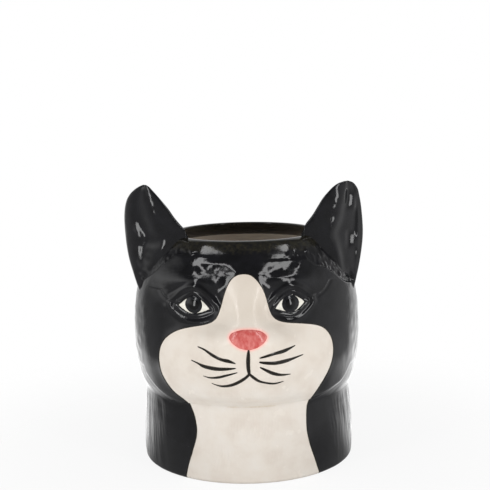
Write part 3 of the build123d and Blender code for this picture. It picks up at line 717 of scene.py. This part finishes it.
def bisque():
    """Unglazed fired earthenware of the foot: matt, buff, with fine grog and wiped streaks."""
    material, add, shader, place = new_material("bisque_earthenware")
    grog = add("TexNoise", blotches(place, 0.8, 4.0))
    tone = add("ValToRGB", [grog], stops=[(0.3, "#CDBFAE"), (0.7, "#E2D8C9")])
    relief = add("Bump", {"Strength": 0.5, "Distance": 0.1 * MM, "Height": grog})
    fill(shader, {"Base Color": tone, "Roughness": 0.85, "Normal": relief})
    return material


BLACK = black_glaze()
CREAM = cream_glaze()
CORAL = painted("coral_underglaze", "#D47D77", "#C05551", 2.0, 0.14, (1.0, 1.0, 0.4))
LINE = line_paint()
EYE_WHITE = painted("eye_white_underglaze", "#EDEAE0", "#D6D3C8", 3.0, 0.12)
IRIS = painted("dark_iris_underglaze", "#1E1F22", "#0F1012", 1.6, 0.07)
PUPIL = painted("black_pupil_underglaze", "#060607", "#030303", 1.6, 0.05)
BISQUE = bisque()


# A coat's rows are pairs of height and offset. The lowest round it off over the foot's bevel
ROUNDED_FOOT = np.array([[0.35, -0.95], [0.80, -0.45], [1.40, -0.10], [2.10, 0.0]])


def plain_rows(levels):
    """Rows that follow the pot's plain skin at some heights."""
    return np.stack([levels, np.zeros(len(levels))], -1)


def rim_path():
    """Rows of the rim's round: up its outside, across the top and down its inside."""
    turns = np.radians(np.arange(10, 91, 10))
    outer = np.stack([RIM_HEIGHT - RIM_ROUND * (1 - np.sin(turns)), -RIM_ROUND * (1 - np.cos(turns))], -1)
    inner = outer[::-1].copy()
    inner[:, 1] = -WALL - outer[::-1, 1]
    return np.concatenate([outer, inner])


def patch_line():
    """The white patch's border in space: up its right edge, over the top and down its left edge."""
    low = np.linspace(GLAZE_LINE, PATCH_CLOSE - PATCH_TOP, 150)
    heights = np.concatenate([low, PATCH_CLOSE - PATCH_TOP * np.linspace(1, 0, 30)[1:] ** 2])
    right = pot_point(turn_at(heights, read(PATCH_EDGES, heights, 2)), heights)
    left = pot_point(turn_at(heights, read(PATCH_EDGES, heights, 1)), heights)
    return np.concatenate([right, left[::-1]])


PATCH_BORDER = patch_line()


def black_surface(name, rows, columns):
    """Black coat over a stretch of rows: columns run from the white patch's right edge round the back
    to its left edge. The coat stands a little proud, swells to a bead by the border and ends thin."""
    levels, offsets = rows.T
    shapes = np.clip(levels, GLAZE_LINE, RIM_HEIGHT)
    edges = np.clip(shapes, GLAZE_LINE, PATCH_CLOSE)
    start = turn_at(edges, read(PATCH_EDGES, edges, 2))
    end = turn_at(edges, read(PATCH_EDGES, edges, 1)) + 2 * math.pi
    share = axis_density(0, 1, columns, (0.0, 0.16, 2.6), (1.0, 0.16, 2.6))
    angle = start[:, None] + (end - start)[:, None] * share
    height = np.broadcast_to(shapes[:, None], angle.shape)
    fade = np.where(offsets > -WALL / 2, 1 - ramp(levels, RIM_HEIGHT - 8, RIM_HEIGHT - 3), 0)[:, None]
    away = np.full(angle.shape, FAR)
    near = (np.cos(angle) > 0.2) & (height < PATCH_CLOSE + 6)
    away[near] = distance(pot_point(angle, height)[near], PATCH_BORDER)
    bead = COAT_PROUD + BEAD_RISE * hill(away, 0, BEAD_WIDTH)
    bead -= EDGE_DROP * np.maximum(1 - away / EDGE_WIDTH, 0) ** 2
    points = pot_point(angle, height, offsets[:, None] + (handwork(angle, height) + bead) * fade)
    # Along the rim the border value is held low, so the black goes olive brown there as a painted
    # reflection of leaves
    below = np.maximum(RIM_HEIGHT - RIM_BAND - levels, 0)[:, None]
    away = np.minimum(away, RIM_PAINTED_REFLECTION + RIM_PAINTED_REFLECTION_RISE * below)
    points[..., 2] = levels[:, None]
    return add_surface(name, points, border=away, fur=fur(angle, height))


def black_coats():
    """The black coat in two pieces that meet in the crease under the jaw: the neck's, and the head's,
    which runs up over the rim and a little way down inside."""
    neck = np.linspace(ROUNDED_FOOT[-1, 0], JAW_HEIGHT, 96)[1:]
    rows = np.concatenate([ROUNDED_FOOT, plain_rows(neck)])
    finished(black_surface("neck_coat", rows, 900), BLACK, "black_glaze", "black_glaze")
    head = axis_density(JAW_HEIGHT, RIM_HEIGHT - RIM_ROUND, 158, (112, 12, 1.3), (128.8, 0.9, 5))
    proud = -WALL - MOUTH_PROUD
    drops = np.array([RIM_ROUND, 5, MOUTH_BAND, MOUTH_BAND + 0.05])
    inner = np.stack([RIM_HEIGHT - drops, [proud, proud, proud, -WALL + 0.2]], axis=1)
    rows = np.concatenate([plain_rows(head), rim_path(), inner])
    piece = black_surface("head_coat", rows, 540)
    finished(piece, BLACK, "black_glaze", "black_glaze", "crown_glaze")


def white_coat():
    """The cream coat: columns run from its left edge to its right one, and its margin runs on a
    little way under the black coat."""
    peaks = (128.9, 0.8, 6), (98, 4, 1.2), (JAW_HEIGHT, 3, 1.0)
    levels = axis_density(ROUNDED_FOOT[-1, 0], PATCH_CLOSE, 250, *peaks)[1:]
    levels, offsets = np.concatenate([ROUNDED_FOOT, plain_rows(levels)]).T
    shapes = np.maximum(levels, GLAZE_LINE)
    margin = PATCH_MARGIN / HEAD_FRONT
    start = turn_at(shapes, read(PATCH_EDGES, shapes, 1)) - margin
    end = turn_at(shapes, read(PATCH_EDGES, shapes, 2)) + margin
    share = axis_density(0, 1, 260, (0.0, 0.03, 2), (1.0, 0.03, 2))
    angle = start[:, None] + (end - start)[:, None] * share
    height = np.broadcast_to(shapes[:, None], angle.shape)
    flat = pot_point(angle, height)[..., [0, 2]]
    nose = curve(NOSE, 64, closed=True)
    away = distance(flat, np.concatenate([nose, nose[:1]]))
    blush = np.maximum(np.exp(-np.maximum(away - 0.4, 0) / 0.5) * (away < 5), inside(flat, nose))
    points = pot_point(angle, height, offsets[:, None] + handwork(angle, height))
    points[..., 2] = levels[:, None]
    piece = add_surface("cream_coat", points, blush=blush)
    return finished(piece, CREAM, "cream_glaze", "white_glaze")


def inner_coat():
    """The coat inside: from under the black over the rim down the wall, round the floor's edge and
    across the floor to its middle."""
    wall = np.linspace(RIM_HEIGHT - MOUTH_BAND + 0.5, FLOOR + FLOOR_CORNER, 60)
    turns = np.linspace(0, math.pi / 2, 10)[1:]
    flat = np.linspace(0, 1, 9)[1:]
    down = np.concatenate([np.zeros(len(wall)), 1 - np.cos(turns), np.ones(len(flat))])
    levels = np.concatenate([wall, FLOOR + FLOOR_CORNER * (1 - np.sin(turns)), np.full(len(flat), FLOOR)])
    angle = np.linspace(-math.pi, math.pi, 240, endpoint=False)[None, :] + np.zeros((len(levels), 1))
    height = np.maximum(levels, INNER_FOOT)[:, None] + np.zeros(angle.shape)
    points = pot_point(angle, height, (-WALL - FLOOR_CORNER * down)[:, None])
    points[..., 2] = levels[:, None]
    centre = np.array([0, AXIS_Y])
    shrink = np.concatenate([np.ones(len(levels) - len(flat)), 1 - flat])
    points[..., :2] = centre + (points[..., :2] - centre) * shrink[:, None, None]
    piece = add_surface("inner_coat", points, close=True, flip=True)
    return finished(piece, CREAM, "inner_glaze", "interior_glaze")


# Painted marks
def on_face(flat, offset):
    """Points of the finished face at x and height, raised by offset."""
    turn = turn_at(flat[..., 1], flat[..., 0])
    return pot_point(turn, flat[..., 1], handwork(turn, flat[..., 1]) + offset)


def stroke_surface(points, count=64, across=11):
    """Brush stroke: a grid along a smooth line, as wide as its points say, rounded over its width and
    closed to a point at both ends."""
    path = curve(points, count)
    line, width = path[:, :2], path[:, 2]
    t = np.linspace(0, 1, count)
    width = BRUSH_SPREAD * width * np.minimum(1, np.sqrt(np.sin(np.pi * t)) * 3.6 + 0.02)
    along = np.gradient(line, axis=0)
    along /= np.linalg.norm(along, axis=1)[:, None]
    normal = np.stack([-along[:, 1], along[:, 0]], -1)
    side = np.linspace(-1, 1, across)
    flat = line[:, None] + normal[:, None] * (width[:, None, None] / 2 * side[None, :, None])
    rise = STROKE_RISE * np.sqrt(1 - side**2)[None, :] * np.minimum(1, width / 1.2)[:, None]
    return on_face(flat, rise - PAINT_SUNK)


def strokes(name, table, slot, node):
    """Several strokes in one mesh; margin is 0 along a stroke's middle and 1 at its edges."""
    grids = [stroke_surface(row) for row in table]
    rows, columns = grids[0].shape[:2]
    margin = np.tile(np.abs(np.linspace(-1, 1, columns)), rows * len(grids))
    piece = add_surface(name, *grids, flip=True, margin=margin)
    return finished(piece, LINE, slot, node)


def rings(outline, count):
    """Rings that shrink from an outline to its middle, with each ring's share of the way out."""
    share = np.linspace(1, 0, count)[:, None, None]
    middle = outline.mean(0)
    return middle + (outline - middle)[None] * share, share[..., 0]


def nose():
    """Coral nose: a low pad of paint, thick in the middle and rounded off at its outline."""
    flat, share = rings(curve(NOSE, 72, closed=True), 16)
    rise = NOSE_RISE * np.sqrt(np.maximum(1 - share**4, 0)) - NOSE_SUNK
    piece = add_surface("coral_nose", on_face(flat, rise), close=True)
    return finished(piece, CORAL, "pink_paint", "pink_nose")


def eyeball(flat, iris, raised):
    """Points of an eye: its own dome in place of the head's relief, round about the iris's middle
    across and nearly straight up and down."""
    turn = turn_at(flat[..., 1], flat[..., 0])
    x, height = flat[..., 0], flat[..., 1]
    dome = EYEBALL_REACH * (hill(x, iris[0], EYEBALL_HALF_WIDTH) - 1)
    dome -= (height - iris[1]) ** 2 / (2 * EYEBALL_BEND)
    return pot_point(turn, height, dome + raised - bumps(EYE_RELIEF, x, height))


def eye(name):
    """Eye: the white between the lids, on it the iris and on that the pupil, each a little higher."""
    upper, lower = LID_LINES[name]["upper"], LID_LINES[name]["lower"]
    iris = np.array(EYES[name]["iris"])
    turn = np.linspace(0, 2 * math.pi, 80, endpoint=False)
    circle = np.stack([np.cos(turn), np.sin(turn)], -1)
    almond = np.concatenate([upper, lower[-2:0:-1]])
    for part, outline, raised, material, slot in (
        ("eye_white", almond[::-1], 0.15, EYE_WHITE, "eye_white_paint"),
        ("iris", iris + IRIS_RADIUS * circle, 0.27, IRIS, "iris_paint"),
        ("pupil", iris + PUPIL_RADIUS * circle, 0.35, PUPIL, "pupil_paint"),
    ):
        if part != "eye_white":
            bottom = np.interp(outline[:, 0], lower[:, 0], lower[:, 1]) + 0.1
            top = np.interp(outline[:, 0], upper[:, 0], upper[:, 1]) - 0.1
            outline[:, 1] = np.clip(outline[:, 1], bottom, top)
        flat, share = rings(outline, 14)
        lift = raised - 0.15 * (share > 0.99)
        piece = add_surface(f"{name}_{part}_paint", eyeball(flat, iris, lift), close=True)
        finished(piece, material, slot, f"{name}_{part}")


# Ears
def keep_in_wall(points):
    """Push what reaches past the middle of the pot's wall back out to it, along the section's radius:
    the ears stop in the clay, and over the rim they end flush with the mouth's edge."""
    level = np.minimum(points[..., 2], RIM_HEIGHT)
    x, y = points[..., 0], points[..., 1] - AXIS_Y
    depth = np.where(y < 0, read(PROFILE, level, 2), read(PROFILE, level, 3))
    size = np.hypot(x / (read(PROFILE, level, 1) - WALL + RIM_ROUND), y / (depth - WALL + RIM_ROUND))
    out = np.maximum(1, 1 / size)
    return np.stack([x * out, y * out + AXIS_Y, points[..., 2]], -1)


def ear(name, side, hollows, flats=()):
    """Cupped ear: a flat oval carried up a bent sheet. The sheet sweeps back towards the outer edge
    and has its hollows, ridges and flat places; near the foot it is lumpy, where the ear was luted
    on. side is -1 for the left ear and 1 for the right one."""
    up = np.concatenate([[0], np.sin(np.linspace(0.02, math.pi / 2, 150)) ** 1.05])
    turn = np.linspace(0, 2 * math.pi, 190, endpoint=False)
    up, turn = np.meshgrid(up, turn, indexing="ij")
    column = 2 + side
    inner, outer = read(EAR_SHARES, up, column) * EAR_SIDE, read(EAR_SHARES, up, column + 1) * EAR_SIDE
    share = (1 - np.cos(turn)) / 2
    x = inner + (outer - inner) * share
    first = min(row[column] for row in EAR_SHARES) * EAR_SIDE
    outward = np.maximum(x - first, 0) / (EAR_SIDE - first)
    y = -EAR_FRONT + EAR_SWEEP * outward**3.4 + EAR_LEAN * up
    for place, level, depth, across, along, steep in hollows:
        y = y + depth * np.exp(-(np.abs((share - place) / across) ** steep)) * hill(up, level, along)
    level = EAR_FOOT + up * (TIP_HEIGHT - EAR_FOOT)
    rough = np.ones(x.shape)
    for place, middle, depth, across, along, aside, upward in flats:
        centre = y.flat[np.argmin(np.hypot(x - place, level - middle))]
        flat = centre + depth + aside * (x - place) + upward * (level - middle)
        weight = np.exp(-(((x - place) / across) ** 4) - ((level - middle) / along) ** 4)
        y += (flat - y) * weight
        rough -= 0.9 * weight
    thick = EAR_TIP_THICKNESS + (EAR_THICKNESS - EAR_TIP_THICKNESS) * np.sqrt(np.maximum(1 - up**6, 0))
    half = thick / 2 * (up < 0.9999) * (up > 0)
    y = y - np.sign(np.sin(turn)) * half * np.sqrt(np.abs(np.sin(turn)))
    points = np.stack([side * x, AXIS_Y + y, level], -1)
    lumps = uneven(points, [(0.12, 12.0, 21 + side), (0.03, 4.5, 23 + side)])
    root = 1 - ramp(up, 0.14, 0.30)
    lumps += root * uneven(points, [(0.40, 7.0, 25 + side), (0.16, 3.2, 27 + side)])
    lumps *= rough * ramp(np.abs(np.sin(turn)), 0.0, 0.5) * (1 - ramp(up, 0.9, 1.0))
    points[..., 1] -= np.sign(np.sin(turn)) * lumps
    points = keep_in_wall(points)
    border, streaks = np.full(up.shape, FAR), np.full(up.shape, EAR_STREAKS)
    piece = add_surface(f"{name}_coat", points, close=True, flip=side > 0, border=border, fur=streaks)
    return finished(piece, BLACK, "black_glaze", name, f"{name}_glaze")


black_coats()
white_coat()
inner_coat()
nose()
strokes("mouth_strokes", MOUTH, "line_paint", "mouth_line")
strokes("left_whisker_strokes", LEFT_WHISKERS, "line_paint", "left_whiskers")
strokes("right_whisker_strokes", RIGHT_WHISKERS, "line_paint", "right_whiskers")
eye("left")
eye("right")
ear("left_ear", -1, LEFT_EAR_HOLLOWS)
ear("right_ear", 1, RIGHT_EAR_HOLLOWS, RIGHT_EAR_FLATS)
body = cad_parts["earthenware_body"]
body.data.materials.clear()
body.data.materials.append(BISQUE)


# Studio: what gloss sees of the room, each a smooth step along an axis of the view's direction, with
# where it begins and ends and the brightness before and after it
ROOM_STEPS = {
    "front": ("Z", 0.10, 0.60, 0.32, 0.10),
    "left wall": ("X", -0.98, -0.72, 0.9, 0.0),
    "over the table": ("Z", 0.0, 0.3, 0.0, 1.0),
    "right wall": ("X", 0.55, 0.98, 0.0, 0.28),
    "behind": ("Y", 0.42, 0.66, 0.0, 1.0),
    "table": ("Z", -0.42, -0.14, 2.5, 0.75),
    "far behind": ("Y", 0.5, 0.7, 0.0, 1.0),
    "right side": ("X", 0.2, 0.6, 0.0, 0.5),
    "soft light": ("Z", -1.0, 1.0, 2.05, 0.34),
}
# Lamps: name, place, what it looks at, width and height, all in metres, and watts
LAMPS = [
    ("left_strip", (-0.86, -0.83, 0.65), (0, 0, 0.3), 0.16, 0.96, 2.7),
    ("right_strip", (0.80, -0.89, 0.65), (0, 0, 0.3), 0.16, 0.96, 2.7),
    ("left_bar", (-0.715, -0.464, 1.10), (0, 0, 0.1), 0.60, 0.10, 1.0),
    ("right_bar", (0.715, -0.464, 1.10), (0, 0, 0.1), 0.60, 0.10, 1.0),
]
# Floor: the radii of its rings and how far it lies under the foot, in millimetres; where it fades
# out, in metres; how much of its plain white the camera sees, and how much of its glow gloss sees
FLOOR_RADII = (0.0, 100, 200, 320)
FLOOR_DROP = 0.05
FADE_START, FADE_END = 0.11, 0.30
CAMERA_SHARE = 0.88
GLOSS_SHARE = 0.9


def studio():
    """White room: the camera sees white everywhere. Gloss sees a bright sweep behind the pot, a dim
    room in front of it and over it and a paler wall on the right, and all else is lit softly, more
    from below than from above."""
    world = bpy.data.worlds.new("studio")
    bpy.context.scene.world = world
    world.use_nodes = True
    tree = world.node_tree
    tree.nodes.clear()
    add = partial(add_node, tree)
    path = add("LightPath").node.outputs
    along = add("SeparateXYZ", [add("TexCoord", output="Generated")]).node.outputs
    steps = {
        name: add("MapRange", [along[axis], *values], interpolation_type="SMOOTHSTEP")
        for name, (axis, *values) in ROOM_STEPS.items()
    }
    left = add("Math", [steps["left wall"], steps["over the table"]], operation="MULTIPLY")
    walls = add("Math", [left, steps["right wall"]], operation="ADD")
    front = add("Math", [steps["front"], walls], operation="ADD")
    table = add("Math", [steps["behind"], steps["table"]], operation="MULTIPLY")
    right = add("Math", [steps["far behind"], steps["right side"]], operation="MULTIPLY")
    sweep = add("Math", [table, right], operation="ADD")
    room = add("Math", [front, sweep], operation="MAXIMUM")
    mirrored = add("Background", ["#FFFFFF", room])
    soft = add("Background", ["#FFFFFF", steps["soft light"]])
    white = add("Background", ["#FFFFFF"])
    seen = add("Math", [path["Is Camera Ray"], path["Is Transmission Ray"]], operation="MAXIMUM")
    lit = add("MixShader", [path["Is Glossy Ray"], soft, mirrored])
    shown = add("MixShader", [seen, lit, white])
    fill(tree.nodes.new("ShaderNodeOutputWorld"), [shown])


def softbox(name, place, aim, width, height, power):
    """Rectangular studio lamp that looks at a point."""
    light = bpy.data.lights.new(name, "AREA")
    light.shape = "RECTANGLE"
    light.size, light.size_y, light.energy = width, height, power
    lamp = bpy.data.objects.new(name, light)
    lamp.location = place
    lamp.rotation_euler = (Vector(aim) - Vector(place)).to_track_quat("-Z", "Y").to_euler()
    bpy.context.scene.collection.objects.link(lamp)


def floor():
    """Pale floor that fades out into the white room. The camera sees it nearly white with the pot's
    soft shadow, and gloss sees it bright behind the pot and dim in front."""
    material = bpy.data.materials.new("pale_floor")
    material.use_nodes = True
    tree = material.node_tree
    tree.nodes.clear()
    add = partial(add_node, tree)
    path = add("LightPath").node.outputs
    place = add("TexCoord", output="Object")
    away = add("VectorMath", [place], "Value", operation="LENGTH")
    depth = add("SeparateXYZ", [place], "Y")
    smooth = {"interpolation_type": "SMOOTHSTEP"}
    brightness = add("MapRange", [depth, -0.03, 0.05, 0.35, 1.8], **smooth)
    fade = add("MapRange", [away, FADE_START, FADE_END, 0.0, 1.0], **smooth)
    cover = add("BsdfDiffuse", [rgba(0.95)])
    mirrored = add("Emission", {"Strength": brightness})
    white = add("Emission", {"Strength": 1.0})
    clear = add("BsdfTransparent")
    camera_part = add("Math", [path["Is Camera Ray"], CAMERA_SHARE], operation="MULTIPLY")
    gloss_part = add("Math", [path["Is Glossy Ray"], GLOSS_SHARE], operation="MULTIPLY")
    shown = add("MixShader", [camera_part, cover, white])
    shown = add("MixShader", [gloss_part, shown, mirrored])
    shown = add("MixShader", [fade, shown, clear])
    fill(tree.nodes.new("ShaderNodeOutputMaterial"), [shown])
    ring = np.linspace(0, 2 * math.pi, 96, endpoint=False)
    radius = np.array(FLOOR_RADII)[:, None]
    level = np.full((len(radius), len(ring)), -FLOOR_DROP)
    points = np.stack([radius * np.cos(ring), radius * np.sin(ring), level], -1)
    piece = add_surface("pale_floor", points, close=True, flip=True)
    piece.data.materials.append(material)


def camera():
    """Camera of the photograph: distance, height, pitch and roll found from the pot's outline."""
    frame_width, focal_length = 490.0, 1020.0
    data = bpy.data.cameras.new("camera")
    data.sensor_width = 36.0
    data.lens = focal_length / frame_width * data.sensor_width
    pitch, roll = math.radians(8.28), math.radians(1.1)
    ahead = Vector((0, math.cos(pitch), -math.sin(pitch)))
    level = Vector((1, 0, 0))
    top = level.cross(ahead)
    right = level * math.cos(roll) - top * math.sin(roll)
    up = top * math.cos(roll) + level * math.sin(roll)
    view = bpy.data.objects.new("camera", data)
    turned = Matrix((right, up, -ahead)).transposed().to_4x4()
    view.matrix_world = Matrix.Translation(Vector((-0.1, -658.6, 234.0)) * MM) @ turned
    bpy.context.scene.collection.objects.link(view)
    bpy.context.scene.camera = view


studio()
for lamp_row in LAMPS:
    softbox(*lamp_row)
floor()
camera()
bpy.context.scene.view_settings.view_transform = "Standard"
